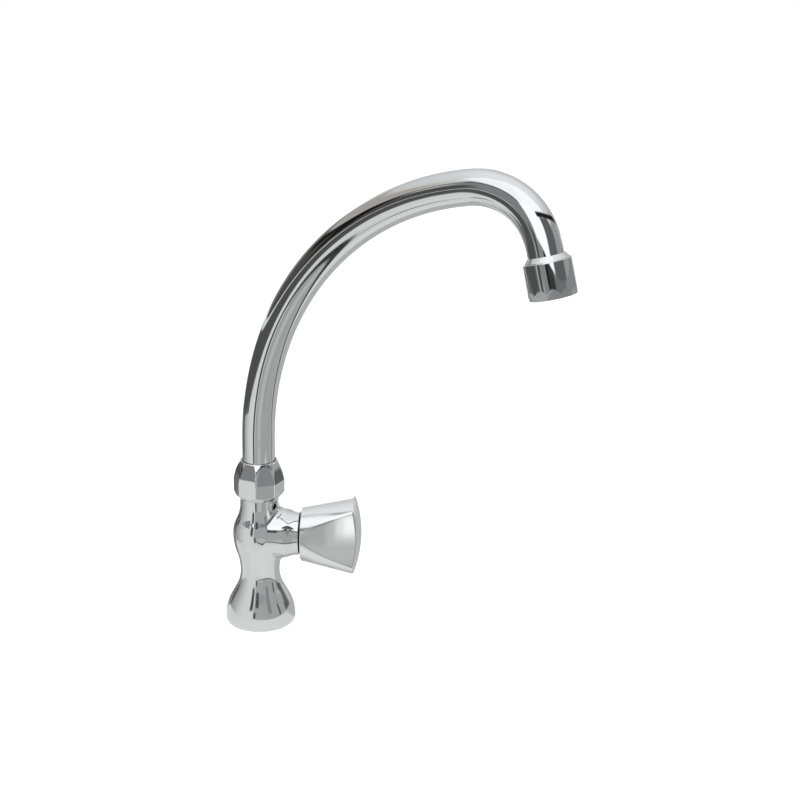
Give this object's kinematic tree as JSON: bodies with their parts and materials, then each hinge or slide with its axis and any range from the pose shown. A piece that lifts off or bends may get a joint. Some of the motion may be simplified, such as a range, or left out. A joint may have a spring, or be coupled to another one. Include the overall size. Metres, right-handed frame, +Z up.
{
  "type": "basin tap",
  "caption": "Chrome pillar tap with a waisted body on a flared foot, a side valve with a coned knob, and a swivelling swan-neck spout with an aerator.",
  "frame": {"origin": "centre of the foot's underside, on the deck's top face", "axes": "+Z up along the pillar, +X along the valve axis towards the knob, -Y towards the user"},
  "size_m": [0.1808, 0.1183, 0.3187],
  "materials": {
    "chrome": "polished chrome plate on brass",
    "knob_chrome": "softly polished chrome plate",
    "cap_chrome": "softly polished chrome plate",
    "brass": "machined brass",
    "steel": "bright stainless steel",
    "black_rubber": "matte black rubber",
    "white_plastic": "moulded acetal",
    "grey_plastic": "moulded nylon",
    "red_fibre": "vulcanised fibre"
  },
  "bodies": {
    "base": {"body": "chrome", "base_gasket": "black_rubber", "threaded_shank": "brass", "rubber_washer": "black_rubber", "clamp_washer": "steel", "backnut": "brass", "spout_nut": "chrome", "slip_ring": "white_plastic", "headwork_gasket": "red_fibre", "headwork_housing": "brass"},
    "spout": {"spout_tube": "chrome", "spout_spigot": "brass", "spigot_o_ring_lower": "black_rubber", "spigot_o_ring_upper": "black_rubber", "friction_washer": "white_plastic", "outlet_bush": "chrome", "aerator_housing": "chrome", "aerator_gasket": "black_rubber", "aerator_core": "white_plastic", "aerator_screen": "steel", "aerator_grid": "white_plastic"},
    "knob": {"knob": "knob_chrome", "index_cap": "cap_chrome", "knob_screw": "steel", "spline_insert": "grey_plastic", "valve_spindle": "brass", "spindle_circlip": "steel", "spindle_o_ring_inner": "black_rubber", "spindle_o_ring_outer": "black_rubber"},
    "valve": {"valve_plunger": "brass", "seat_washer": "black_rubber", "washer_screw": "steel"}
  },
  "joints": [
    {"name": "spout_swivel", "type": "hinge", "parent": "base", "child": "spout", "pos_m": [0, 0, 0.0873], "axis": [0, 0, 1], "continuous": true},
    {"name": "knob_turn", "type": "hinge", "parent": "base", "child": "knob", "pos_m": [0.03, 0, 0.0524], "axis": [1, 0, 0], "range_deg": [0, 900]},
    {"name": "valve_lift", "type": "slide", "parent": "base", "child": "valve", "axis": [1, 0, 0], "range_m": [0, 0.0035]}
  ],
  "couplings": [
    {"joint": "valve_lift", "follows": "knob_turn", "m_per_rad": 0.0002228}
  ]
}
